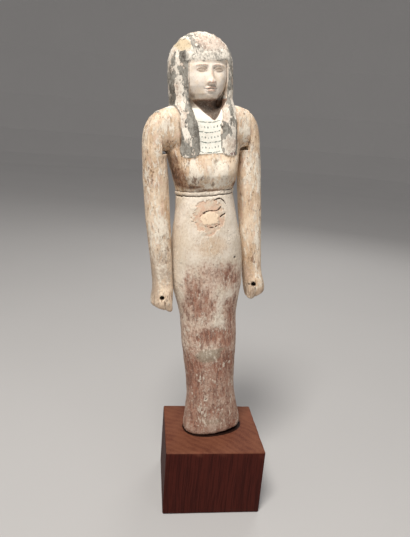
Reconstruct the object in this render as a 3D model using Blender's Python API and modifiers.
# Offering bearer: a standing woman of carved and painted wood, on a wooden block.
# Units are metres and +Z is up. The origin is the centre of the block's underside, and the
# block's front looks along -Y. The figure is carved in a frame of its own, whose +Z runs up
# the figure and whose -Y is her front. That frame leans and turns on the block.

from math import copysign, cos, exp, pi, radians, sin, sqrt

import bmesh
import bpy
from mathutils import Matrix, Vector

# The block
BLOCK_WIDTH = 0.071
BLOCK_DEPTH = 0.061
BLOCK_HEIGHT = 0.0515
BLOCK_EDGE_RADIUS = 0.0011

# The figure on the block
FIGURE_HEIGHT = 0.275
FIGURE_LEAN = 6.1  # degrees, to the viewer's left
FIGURE_TURN = 14.9  # degrees, anticlockwise from above
HEAD_TURN = 5.0  # degrees further than the body
FIGURE_ASIDE = 0.0005  # from the block's middle to the viewer's right
FIGURE_BACK = 0.0028  # from the block's middle towards its back
FOOT_TILT = 3.0  # degrees, the underside is cut out of square to sit nearly level
TOUCHING_GAP = 0.0003  # left between pieces that touch

# The arms and fists
ARMPIT_SLOT = 0.0022  # open slot under the shoulder, between chest and arm
ROD_HOLE_DIAMETER = 0.0032
FINGER_GROOVE_WIDTH = 0.0013

# Everything carved is a share of the figure's height, written in thousandths of it.
# Rows give height, half width, depth to the front and depth to the back.
TRUNK = (
    (-7, 50.0, 29.0, 32.0),
    (-2, 64.0, 37.0, 41.0),
    (2, 74.0, 42.5, 47.5),
    (6, 79.2, 45.4, 51.5),
    (12, 81.6, 47.0, 54.0),
    (24, 80.6, 47.0, 54.0),
    (40, 77.6, 46.6, 53.6),
    (62, 73.0, 46.4, 53.0),
    (132, 64.8, 48.0, 54.0),
    (205, 68.2, 51.4, 61.6),
    (268, 73.0, 55.0, 59.5),
    (330, 73.2, 56.6, 63.0),
    (385, 82.4, 60.0, 72.0),
    (430, 90.6, 63.0, 80.0),
    (465, 91.8, 65.0, 83.5),
    (515, 89.2, 66.5, 78.0),
    (560, 82.6, 64.5, 64.0),
    (617, 73.2, 57.0, 51.0),
    (650, 71.0, 51.5, 48.6),
    (690, 77.0, 52.0, 51.4),
    (732, 85.0, 50.6, 53.0),
    (752, 89.6, 47.6, 51.6),
    (785, 80.0, 45.4, 48.6),
    (822, 52.0, 38.0, 40.0),
)
CHEST_SQUARENESS = (  # the chest is squarer than the rest
    (660, 2.25),
    (750, 3.0),
)
NECK = (
    (780, 40.0, 33.0, 36.0),
    (815, 35.0, 32.0, 32.0),
    (835, 31.5, 29.5, 29.5),
    (885, 31.0, 29.0, 30.0),
)
HEAD = (
    (853.0, 17.0, 20.0, 20.0),
    (855.5, 25.0, 34.0, 26.0),
    (860.0, 33.0, 43.0, 34.0),
    (870.0, 43.0, 49.0, 42.0),
    (886.0, 53.0, 51.0, 48.0),
    (905.0, 60.0, 51.5, 52.0),
    (925.0, 62.0, 51.4, 55.0),
    (945.0, 60.0, 49.6, 56.0),
    (962.0, 53.0, 44.0, 52.0),
    (978.0, 39.0, 32.0, 42.0),
    (988.0, 22.0, 18.0, 26.0),
)
WIG = (
    (737.0, 54.0, 20.0, 51.0),
    (741.0, 62.0, 20.0, 56.0),
    (750.0, 67.0, 20.0, 59.5),
    (780.0, 70.0, 20.0, 61.5),
    (815.0, 71.2, 23.0, 63.4),
    (838.0, 71.8, 34.0, 65.0),
    (862.0, 72.8, 45.0, 66.6),
    (890.0, 74.2, 48.5, 67.8),
    (905.0, 75.0, 49.5, 68.0),
    (929.0, 74.2, 53.0, 68.0),
)
# Rows give height, inner edge, outer edge and the depth of the front face.
LAPPET = (
    (735.0, 27.5, 64.0, 55.0),
    (738.0, 26.0, 66.4, 57.4),
    (760.0, 26.0, 68.6, 57.6),
    (800.0, 28.5, 70.0, 55.4),
    (826.0, 34.0, 70.2, 50.4),
    (850.0, 40.0, 68.0, 42.0),
    (880.0, 47.0, 59.0, 28.0),
)
# Rows give distance from the middle, lower edge, upper edge, front and back.
SHOULDERS = (
    (0, 734, 834, 43.0, 47.0),
    (45, 736, 842, 43.6, 47.4),
    (80, 745, 846, 40.0, 44.0),
    (108.9, 751, 834, 34.5, 38.5),
)
# Rows give height, inner edge, outer edge, middle of the depth and half depth.
ARM = (
    (364.0, 109.0, 144.0, -12.0, 22.0),
    (369.0, 105.0, 149.0, -12.0, 27.0),
    (382.0, 101.0, 151.6, -12.0, 30.0),
    (400.0, 98.4, 152.0, -12.0, 30.5),
    (418.0, 96.6, 147.8, -11.5, 28.6),
    (434.0, 95.8, 145.4, -10.5, 24.6),
    (452.0, 95.6, 144.8, -10.0, 22.8),
    (494.0, 94.4, 146.0, -8.0, 24.2),
    (545.0, 92.0, 147.4, -4.5, 27.0),
    (600.0, 91.2, 148.8, -1.0, 28.6),
    (640.0, 90.2, 148.8, 0.0, 28.4),
    (690.0, 89.6, 148.8, 1.0, 30.0),
    (728.0, 92.0, 146.4, 2.0, 32.6),
    (745.0, 91.0, 145.6, 2.0, 34.6),
    (762.0, 80.0, 145.2, 2.0, 36.0),
)
ARM_TOP = (  # height, reach of the shoulder cap out from the joint
    (762, 36.3),
    (782, 33.8),
    (800, 29.6),
    (816, 20.4),
    (825, 13.0),
    (831, 6.4),
    (833.6, 1.8),
)

BREAST = dict(across=41.0, height=692.0, inner_reach=46.0, reach=37.0, above=62.0, below=18.0, push=17.5)
BUTTOCK = dict(across=36.0, height=478.0, inner_reach=44.0, reach=44.0, above=60.0, below=60.0, push=5.0)
DRESS_TOP = dict(height=654.0, half_band=4.6, edge=2.4, proud=2.8, groove=1.8)
ROD_HOLE = dict(across=123.8, middle_depth=-12.0, height=409.0)
ROD_HOLE_TURN = {-1: 16.0, 1: 25.0}  # degrees that each hole was drilled off the straight
FIST_UNDERSIDE = dict(across=112.0, height=371.0, slope=24.0, corner_round=5.0)
FINGERS = dict(grooves=(-24.5, -10.5, 3.5), top=418.0)
THUMB = dict(top=438.0, tip=368.0, front=-41.0, half_width=9.6, half_depth=9.4, root=16.0, sink=6.0)
THUMB_ACROSS = {-1: 114.0, 1: 107.0}
THUMB_TIP_LENGTH = 9.0
THUMB_TIP_STEPS = (0.0, 0.13, 0.44, 1.0)  # of that length
THUMB_TAPER_LENGTH = 40.0  # where the thumb runs into the wrist

# The face is a general one, set out by the rule of equal thirds from hairline to chin.
HAIRLINE = 957.0
CHIN = 857.0
THIRD = (HAIRLINE - CHIN) / 3
BROW = CHIN + 2 * THIRD
NOSE_BASE = CHIN + THIRD
EYE_WIDTH = 20.4  # the face is five eyes wide
EYE_LINE = BROW - 0.16 * THIRD
MOUTH = NOSE_BASE - THIRD / 3
FACE_FORMS = (  # across, height, half width, half height, depth forward
    (EYE_WIDTH, BROW + 3.0, 16.0, 5.0, 1.6),  # brow
    (EYE_WIDTH, EYE_LINE, 10.5, 7.5, -5.0),  # eye socket
    (EYE_WIDTH, EYE_LINE, 7.5, 4.0, 3.4),  # lids
    (1.25 * EYE_WIDTH, NOSE_BASE + 4.0, 12.0, 14.0, 2.0),  # cheek
    (8.0, NOSE_BASE + 3.5, 4.2, 4.4, 3.6),  # wing of the nose
    (0.0, MOUTH + 3.4, 13.5, 3.2, 3.6),  # upper lip
    (0.0, MOUTH, 15.0, 1.6, -2.6),  # line of the mouth
    (0.0, MOUTH - 4.2, 11.0, 3.4, 3.8),  # lower lip
    (0.0, MOUTH - 10.0, 9.0, 3.4, -1.8),  # hollow below it
    (0.0, CHIN + 8.0, 12.0, 8.0, 3.6),  # chin
)
NOSE = dict(bridge=5.0, growth=8.0, half_width=4.8, flare=2.8, below=0.18, above=0.1, fade=0.25)

FACE_OPENING = ((38.0, 815.0), (46.6, 866.0), (48.6, 900.0))  # half width at a height
OPENING_ARCH = 30.0
OPENING_BACK = -8.0
DOME_CLOSE = 84  # degrees of arc, where the flat top of the dome begins

FOOT_TILT_END = 140.0
SQUARENESS = 2.25
SHOULDER_SQUARENESS = 3.3
SHOULDER_UNDER_SQUARENESS = 2.4
HEAD_SQUARENESS = 2.3
WIG_SQUARENESS = (  # fuller where the lappets leave it
    (838, 2.6),
    (905, 2.3),
)
LAPPET_SQUARENESS = 3.2
LAPPET_MIDDLE = -30.0  # the depth that a lappet's section is drawn round
LAPPET_BEHIND = 14.0
LAPPET_FALL = 0.0016  # how fast its front falls back towards the side
SHARP_ANGLE = 40  # degrees
CLEAR_OF_ALL = 200.0  # from the axis to well outside any piece, for the ends of cutters

# Segments round each section, and the height between sections
SEGMENTS = dict(trunk=32, shoulders=28, neck=20, head=46, wig=36, lappet=20, arm=20, thumb=12, hole=16)
STEP = dict(dress=28, chest=13, shoulders=13.6, neck=20, head=4.8, wig=14, dome=10.5)
STEP.update(lappet=15, fist=10.5, arm=24, arm_top=9, thumb=13, groove=8)


def share(thousandths):
    return thousandths * FIGURE_HEIGHT / 1000


def row_at(rows, height):
    # Sizes at a height, eased between the rows without overshoot.
    count = len(rows)
    if height <= rows[0][0]:
        return rows[0][1:]
    if height >= rows[-1][0]:
        return rows[-1][1:]
    low = max(index for index in range(count - 1) if rows[index][0] <= height)
    span = rows[low + 1][0] - rows[low][0]
    part = (height - rows[low][0]) / span

    def slope(index, column):
        if index == 0 or index == count - 1:
            return 0.0 if count < 3 else edge_slope(index, column)
        before = steepness(index - 1, column)
        after = steepness(index, column)
        if before * after <= 0:
            return 0.0
        return 2 * before * after / (before + after)

    def steepness(index, column):
        return (rows[index + 1][column] - rows[index][column]) / (rows[index + 1][0] - rows[index][0])

    def edge_slope(index, column):
        return steepness(0, column) if index == 0 else steepness(count - 2, column)

    sizes = []
    for column in range(1, len(rows[0])):
        start = rows[low][column]
        end = rows[low + 1][column]
        leave = slope(low, column) * span
        arrive = slope(low + 1, column) * span
        squared = part * part
        cubed = squared * part
        sizes.append(
            start * (2 * cubed - 3 * squared + 1)
            + leave * (cubed - 2 * squared + part)
            + end * (3 * squared - 2 * cubed)
            + arrive * (cubed - squared)
        )
    return tuple(sizes)


def oval(half_width, front, back, count, squareness):
    # A squared oval, with its own depth to the front and to the back.
    points = []
    for step in range(count):
        angle = 2 * pi * step / count
        across = copysign(abs(cos(angle)) ** (2 / squareness), cos(angle))
        along = copysign(abs(sin(angle)) ** (2 / squareness), sin(angle))
        points.append((across * half_width, along * (back if along > 0 else front)))
    return points


def heights_between(low, high, step):
    count = max(1, round((high - low) / step))
    return [low + (high - low) * index / count for index in range(count + 1)]


def mesh_object(name, mesh, collection, material=None, parent=None):
    thing = bpy.data.objects.new(name, mesh)
    collection.objects.link(thing)
    if material is not None:
        mesh.materials.append(material)
    thing.parent = parent
    return thing


def mesh_from(name, form):
    bmesh.ops.recalc_face_normals(form, faces=form.faces)
    mesh = bpy.data.meshes.new(name)
    form.to_mesh(mesh)
    form.free()
    return mesh


def loft(name, rings):
    # Skins closed rings of equal count, one after another, and caps both ends.
    form = bmesh.new()
    placed = [[form.verts.new(point) for point in ring] for ring in rings]
    for lower, upper in zip(placed, placed[1:]):
        for index in range(len(lower)):
            following = (index + 1) % len(lower)
            form.faces.new((lower[index], lower[following], upper[following], upper[index]))
    form.faces.new(reversed(placed[0]))
    form.faces.new(placed[-1])
    return mesh_from(name, form)


def box_mesh(name, low, high):
    form = bmesh.new()
    bmesh.ops.create_cube(form, size=1.0)
    for vert in form.verts:
        for axis in range(3):
            middle = (low[axis] + high[axis]) / 2
            vert.co[axis] = middle + vert.co[axis] * (high[axis] - low[axis])
    return mesh_from(name, form)


def as_guide(thing):
    thing.hide_render = True
    thing.display_type = "WIRE"
    return thing


def boolean(thing, operation, other):
    modifier = thing.modifiers.new(operation.lower() + "_" + other.name, "BOOLEAN")
    modifier.operation = operation
    modifier.object = other
    modifier.solver = "EXACT"


def paint(name, colour, roughness):
    material = bpy.data.materials.new(name)
    material.use_nodes = True
    shader = material.node_tree.nodes["Principled BSDF"]
    shader.inputs["Base Color"].default_value = (*colour, 1.0)
    shader.inputs["Roughness"].default_value = roughness
    shader.inputs["Metallic"].default_value = 0.0
    return material


def swelling(across, height, form):
    # 0 to 1 over a rounded swelling on each side of the middle.
    beside = abs(across) - form["across"]
    sideways = beside / form["inner_reach" if beside < 0 else "reach"]
    offset = height - form["height"]
    upright = offset / (form["above"] if offset > 0 else form["below"])
    if abs(sideways) >= 1 or abs(upright) >= 1:
        return 0.0
    return sqrt(1 - sideways * sideways) * (1 - upright * upright) ** (2 if offset > 0 else 1)


def dress_edge(height):
    # The rolled top edge of the dress, with a groove cut below it.
    away = abs(height - DRESS_TOP["height"]) - DRESS_TOP["half_band"]
    if away <= 0:
        return DRESS_TOP["proud"]
    below = height < DRESS_TOP["height"]
    if below and away <= 2 * DRESS_TOP["edge"]:
        return -DRESS_TOP["groove"] * (1 - abs(away / DRESS_TOP["edge"] - 1))
    return 0.0


def trunk_heights():
    band = DRESS_TOP["height"]
    half = DRESS_TOP["half_band"]
    edge = DRESS_TOP["edge"]
    breast = BREAST["height"]
    below = BREAST["below"]
    heights = [row[0] for row in TRUNK[:8]]
    heights += heights_between(TRUNK[7][0] + STEP["dress"], band - half - 3 * edge, STEP["dress"])
    heights += [band - half - 2 * edge, band - half - edge, band - half - 0.1]
    heights += [band + half, band + half + edge]
    heights += [breast - below, breast - 0.78 * below, breast - 0.45 * below, breast]
    heights += heights_between(breast + STEP["chest"], TRUNK[-1][0], STEP["chest"])
    return heights


def foot_drop(x, y, height):
    # Tilts the lowest sections towards level, fading out above the ankles.
    fade = max(0.0, 1 - height / FOOT_TILT_END) ** 2
    turn = radians(FIGURE_TURN)
    return -fade * sin(radians(FOOT_TILT)) * (x * cos(turn) - y * sin(turn))


def trunk_mesh():
    rings = []
    for height in trunk_heights():
        half_width, front, back = row_at(TRUNK, height)
        proud = dress_edge(height)
        (squareness,) = row_at(CHEST_SQUARENESS, height)
        ring = []
        for x, y in oval(half_width + proud, front + proud, back + proud, SEGMENTS["trunk"], squareness):
            if y < 0:
                y -= BREAST["push"] * swelling(x, height, BREAST)
            else:
                y += BUTTOCK["push"] * swelling(x, height, BUTTOCK)
            ring.append(Vector((share(x), share(y), share(height + foot_drop(x, y, height)))))
        rings.append(ring)
    return loft("trunk", rings)


def upright_mesh(name, rows, squareness, relief=None):
    rings = []
    for height in heights_between(rows[0][0], rows[-1][0], STEP[name]):
        ring = []
        for x, y in oval(*row_at(rows, height), SEGMENTS[name], squareness):
            if relief is not None and y < 0:
                y -= relief(x, height)
            ring.append(Vector((share(x), share(y), share(height))))
        rings.append(ring)
    return loft(name, rings)


def shoulder_section(across):
    low, high, front, back = row_at(SHOULDERS, across)
    return (low + high) / 2, (high - low) / 2, front, back


def shoulder_mesh():
    joint = SHOULDERS[-1][0]
    steps = heights_between(-joint, joint, STEP["shoulders"])
    rings = []
    for across in steps:
        middle, half_height, front, back = shoulder_section(abs(across))
        inset = share(across) - copysign(TOUCHING_GAP / 2, across) * (abs(across) == joint)
        upper = oval(half_height, front, back, SEGMENTS["shoulders"], SHOULDER_SQUARENESS)
        under = oval(half_height, front, back, SEGMENTS["shoulders"], SHOULDER_UNDER_SQUARENESS)
        ring = []
        for above, below in zip(upper, under):
            up, y = above if above[0] > 0 else below
            ring.append(Vector((inset, share(y), share(middle + up))))
        rings.append(ring)
    return loft("shoulders", rings)


def face_relief(x, height):
    # Forward depth of a calm, general face over the plain egg of the head.
    depth = 0.0
    for across, middle, wide, tall, forward in FACE_FORMS:
        depth += forward * exp(-(((abs(x) - across) / wide) ** 2) - ((height - middle) / tall) ** 2)
    along = (height - NOSE_BASE) / (BROW - NOSE_BASE)
    below = along + NOSE["below"]
    above = 1 + NOSE["above"] - along
    if below > 0 and above > 0:
        forward = NOSE["bridge"] + NOSE["growth"] * (1 - along)
        fade = min(1.0, below / NOSE["below"]) * min(1.0, above / NOSE["fade"])
        depth += forward * fade * exp(-((x / (NOSE["half_width"] + NOSE["flare"] * (1 - along))) ** 2))
    return depth


def wig_mesh():
    # Hangs straight to the shoulders behind, and is closed above by a dome.
    rings = []
    low, rounded, spring = WIG[0][0], WIG[2][0], WIG[-1][0]
    heights = [low, WIG[1][0], rounded]
    heights += heights_between(rounded + STEP["wig"], spring, STEP["wig"])
    sections = [(height, row_at(WIG, height)) for height in heights]
    for angle in heights_between(0, DOME_CLOSE, STEP["dome"])[1:]:
        shrink = cos(radians(angle))
        sizes = tuple(size * shrink for size in WIG[-1][1:])
        sections.append((spring + (1000 - spring) * sin(radians(angle)) / sin(radians(DOME_CLOSE)), sizes))
    for height, sizes in sections:
        points = oval(*sizes, SEGMENTS["wig"], *row_at(WIG_SQUARENESS, height))
        rings.append([Vector((share(x), share(y), share(height))) for x, y in points])
    return loft("wig", rings)


def face_opening_mesh():
    # A prism through the front of the wig: straight sides under a low arch.
    side = FACE_OPENING[-1][0]
    spring = HAIRLINE - OPENING_ARCH
    outline = list(FACE_OPENING)
    for angle in heights_between(0, 180, 15):
        swing = radians(angle)
        outline.append((side * cos(swing), spring + OPENING_ARCH * abs(sin(swing)) ** 0.8))
    outline += [(-half_width, height) for half_width, height in reversed(FACE_OPENING)]
    rings = []
    for y in (-CLEAR_OF_ALL, OPENING_BACK):
        rings.append([Vector((share(x), share(y), share(z))) for x, z in outline])
    return loft("face_opening", rings)


def lappet_mesh(side):
    rings = []
    low, rounded = LAPPET[0][0], LAPPET[1][0]
    heights = [low, (low + rounded) / 2, rounded]
    heights += heights_between(rounded + STEP["lappet"] / 2, LAPPET[-1][0], STEP["lappet"])
    for height in heights:
        inner, outer, front = row_at(LAPPET, height)
        middle = (inner + outer) / 2
        reach = front + LAPPET_MIDDLE
        ring = []
        for x, y in oval((outer - inner) / 2, reach, LAPPET_BEHIND, SEGMENTS["lappet"], LAPPET_SQUARENESS):
            depth = LAPPET_MIDDLE + y + LAPPET_FALL * (middle + x) ** 2
            ring.append(Vector((side * share(middle + x), share(depth), share(height))))
        rings.append(ring)
    return loft("lappet", rings)


def arm_sections():
    # Height, middle, half width, middle of the depth and half depth.
    sections = []
    low, rounded = ARM[0][0], ARM[1][0]
    wrist, top = ARM[6][0], ARM_TOP[0][0]
    heights = [low, low + 0.3 * (rounded - low), rounded]
    heights += heights_between(rounded + STEP["fist"] / 2, wrist, STEP["fist"])
    heights += heights_between(wrist + STEP["arm"] / 2, top - STEP["arm_top"] / 2, STEP["arm"])
    for height in heights:
        inner, outer, middle_depth, half_depth = row_at(ARM, height)
        sections.append((height, (inner + outer) / 2, (outer - inner) / 2, middle_depth, half_depth))
    joint = SHOULDERS[-1][0]
    middle, half_height, front, back = shoulder_section(joint)
    for height in heights_between(top, ARM_TOP[-1][0], STEP["arm_top"]):
        (reach,) = row_at(ARM_TOP, height)
        rise = max(0.0, height - middle) / half_height
        round_off = max(0.02, 1 - rise**SHOULDER_SQUARENESS) ** (1 / SHOULDER_SQUARENESS)
        half_depth = (front + back) / 2 * min(1.0, round_off)
        sections.append((height, joint, reach, (back - front) / 2, half_depth))
    return sections


def arm_mesh(side):
    rings = []
    for height, middle, half_width, middle_depth, half_depth in arm_sections():
        ring = []
        for x, y in oval(half_width, half_depth, half_depth, SEGMENTS["arm"], SQUARENESS):
            ring.append(Vector((side * share(middle + x), share(middle_depth + y), share(height))))
        rings.append(ring)
    return loft("arm", rings)


def thumb_mesh(side):
    # Lies down the front of the fist, with its rounded tip lowest.
    rings = []
    top = THUMB["top"]
    tip = THUMB["tip"]
    heights = [tip + part * THUMB_TIP_LENGTH for part in THUMB_TIP_STEPS]
    heights += heights_between(tip + 2 * THUMB_TIP_LENGTH, top, STEP["thumb"])
    for height in heights:
        above_tip = min(1.0, (height - tip) / THUMB_TIP_LENGTH)
        below_top = min(1.0, (top - height) / THUMB_TAPER_LENGTH)
        swell = sqrt(max(0.08, 1 - (1 - above_tip) ** 2)) * (0.55 + 0.45 * below_top)
        wide, deep = swell * THUMB["half_width"], swell * THUMB["half_depth"]
        ring = []
        for x, y in oval(wide, deep, THUMB["root"], SEGMENTS["thumb"], SQUARENESS):
            depth = THUMB["front"] + THUMB["half_depth"] + y + THUMB["sink"] * (1 - below_top)
            ring.append(Vector((side * share(THUMB_ACROSS[side] + x), share(depth), share(height))))
        rings.append(ring)
    return loft("thumb", rings)


def groove_mesh(side, depth):
    # A diamond bar that follows the outer side of the fist and then its slanting underside.
    slope = radians(FIST_UNDERSIDE["slope"])
    corner_round = FIST_UNDERSIDE["corner_round"]

    def outer_side(height):
        inner, outer, middle_depth, half_depth = row_at(ARM, height)
        fall = abs((depth - middle_depth) / half_depth) ** SQUARENESS
        return (inner + outer) / 2 + (outer - inner) / 2 * (1 - fall) ** (1 / SQUARENESS)

    def underside(across):
        return FIST_UNDERSIDE["height"] + (across - FIST_UNDERSIDE["across"]) * sin(slope) / cos(slope)

    corner = underside(outer_side(FIST_UNDERSIDE["height"]))
    heights = heights_between(FINGERS["top"], corner + corner_round, STEP["groove"])
    path = [(outer_side(height), height) for height in heights]
    path.append((path[-1][0] - corner_round, underside(path[-1][0] - corner_round)))
    path.append((FIST_UNDERSIDE["across"], underside(FIST_UNDERSIDE["across"])))
    half = FINGER_GROOVE_WIDTH / sqrt(2)
    rings = []
    for index, (x, z) in enumerate(path):
        before = path[max(0, index - 1)]
        after = path[min(len(path) - 1, index + 1)]
        run = Vector((after[0] - before[0], 0, after[1] - before[1])).normalized()
        out = Vector((-run.z, 0, run.x)) * half
        aside = Vector((0, half, 0))
        centre = Vector((share(x), share(depth), share(z))) + out / 4
        corners = (centre + out, centre + aside, centre - out, centre - aside)
        rings.append([Vector((side * point.x, point.y, point.z)) for point in corners])
    return loft("finger_groove", rings)


def rod_hole_mesh(side):
    middle = (side * share(ROD_HOLE["across"]), share(ROD_HOLE["middle_depth"]), share(ROD_HOLE["height"]))
    turn = Matrix.Rotation(-radians(ROD_HOLE_TURN[side]), 4, "Z")
    form = bmesh.new()
    bmesh.ops.create_cone(
        form,
        cap_ends=True,
        segments=SEGMENTS["hole"],
        radius1=ROD_HOLE_DIAMETER / 2,
        radius2=ROD_HOLE_DIAMETER / 2,
        depth=share(CLEAR_OF_ALL),
        matrix=Matrix.Translation(middle) @ turn @ Matrix.Rotation(pi / 2, 4, "X"),
    )
    return mesh_from("rod_hole", form)


def fist_underside_mesh(side):
    # A slanting box that trims the fingers, higher on the outer side.
    pivot = Vector((side * share(FIST_UNDERSIDE["across"]), 0, share(FIST_UNDERSIDE["height"])))
    reach = share(CLEAR_OF_ALL) / 2
    mesh = box_mesh("fist_underside", (-reach, -reach, -reach), (reach, reach, 0))
    keep_thumb = share(THUMB["front"] + 2.2 * THUMB["half_depth"])
    for vertex in mesh.vertices:
        if vertex.co.y < 0:
            vertex.co.y = keep_thumb if vertex.co.x * side < 0 else -reach
    mesh.transform(Matrix.Rotation(-side * radians(FIST_UNDERSIDE["slope"]), 4, "Y"))
    mesh.transform(Matrix.Translation(pivot))
    return mesh


def make_block(collection):
    material = paint("dark_red_wood", (0.105, 0.034, 0.024), 0.45)
    mesh = box_mesh(
        "base_block",
        (-BLOCK_WIDTH / 2, -BLOCK_DEPTH / 2, 0),
        (BLOCK_WIDTH / 2, BLOCK_DEPTH / 2, BLOCK_HEIGHT),
    )
    block = mesh_object("base_block", mesh, collection, material)
    bevel = block.modifiers.new("worn_edges", "BEVEL")
    bevel.width = BLOCK_EDGE_RADIUS
    bevel.segments = 3
    return block


def make_figure(collection, guides, frame):
    material = paint("painted_gesso", (0.62, 0.51, 0.39), 0.8)
    figure = mesh_object("figure", trunk_mesh(), collection, material, frame)
    wig = as_guide(mesh_object("wig", wig_mesh(), guides, parent=frame))
    opening = as_guide(mesh_object("face_opening", face_opening_mesh(), guides, parent=frame))
    opening.rotation_euler.z = radians(HEAD_TURN)
    boolean(wig, "DIFFERENCE", opening)
    pieces = [
        ("shoulders", shoulder_mesh()),
        ("neck", upright_mesh("neck", NECK, 2.0)),
        ("head", upright_mesh("head", HEAD, HEAD_SQUARENESS, face_relief)),
        ("right_lappet", lappet_mesh(-1)),
        ("left_lappet", lappet_mesh(1)),
    ]
    boolean(figure, "UNION", wig)
    for name, mesh in pieces:
        piece = as_guide(mesh_object(name, mesh, guides, parent=frame))
        if name == "head":
            piece.rotation_euler.z = radians(HEAD_TURN)
        boolean(figure, "UNION", piece)
    boolean(figure, "DIFFERENCE", seat_cutter(guides))
    return figure


def seat_cutter(guides):
    # Cuts the flat that the figure stands on, just clear of the block.
    reach = BLOCK_WIDTH + BLOCK_DEPTH
    mesh = box_mesh("seat_cut", (-reach, -reach, -reach), (reach, reach, 0))
    cutter = as_guide(mesh_object("seat_cut", mesh, guides))
    cutter.location.z = BLOCK_HEIGHT + TOUCHING_GAP
    return cutter


def make_arm(name, side, collection, guides, frame):
    material = paint(name + "_wood", (0.60, 0.46, 0.32), 0.75)
    arm = mesh_object(name, arm_mesh(side), collection, material, frame)
    boolean(arm, "UNION", as_guide(mesh_object(name + "_thumb", thumb_mesh(side), guides, parent=frame)))
    joint = share(SHOULDERS[-1][0]) + TOUCHING_GAP / 2
    shelf = share(SHOULDERS[-1][1]) - ARMPIT_SLOT
    near, far = sorted((0.0, side * joint))
    reach = share(CLEAR_OF_ALL)
    chest = box_mesh("joint_cut", (near, -reach, shelf), (far, reach, FIGURE_HEIGHT))
    cutters = [
        (name + "_joint_cut", chest),
        (name + "_fist_underside", fist_underside_mesh(side)),
        (name + "_rod_hole", rod_hole_mesh(side)),
    ]
    for index, depth in enumerate(FINGERS["grooves"]):
        cutters.append((name + "_groove_" + str(index), groove_mesh(side, depth)))
    for cutter_name, mesh in cutters:
        boolean(arm, "DIFFERENCE", as_guide(mesh_object(cutter_name, mesh, guides, parent=frame)))
    return arm


def build():
    for thing in list(bpy.data.objects):
        bpy.data.objects.remove(thing, do_unlink=True)
    scene = bpy.context.scene
    collection = bpy.data.collections.new("offering_bearer")
    guides = bpy.data.collections.new("cutters_and_guides")
    scene.collection.children.link(collection)
    scene.collection.children.link(guides)

    frame = bpy.data.objects.new("figure_frame", None)
    collection.objects.link(frame)
    frame.location = (FIGURE_ASIDE, FIGURE_BACK, BLOCK_HEIGHT)
    frame.rotation_mode = "ZYX"
    frame.rotation_euler = (0, -radians(FIGURE_LEAN), radians(FIGURE_TURN))

    make_block(collection)
    make_figure(collection, guides, frame)
    make_arm("right_arm", -1, collection, guides, frame)
    make_arm("left_arm", 1, collection, guides, frame)
    bpy.context.view_layer.update()
    for thing in scene.objects:
        if thing.type == "MESH":
            thing.data.shade_smooth()
            thing.data.set_sharp_from_angle(angle=radians(SHARP_ANGLE))


build()
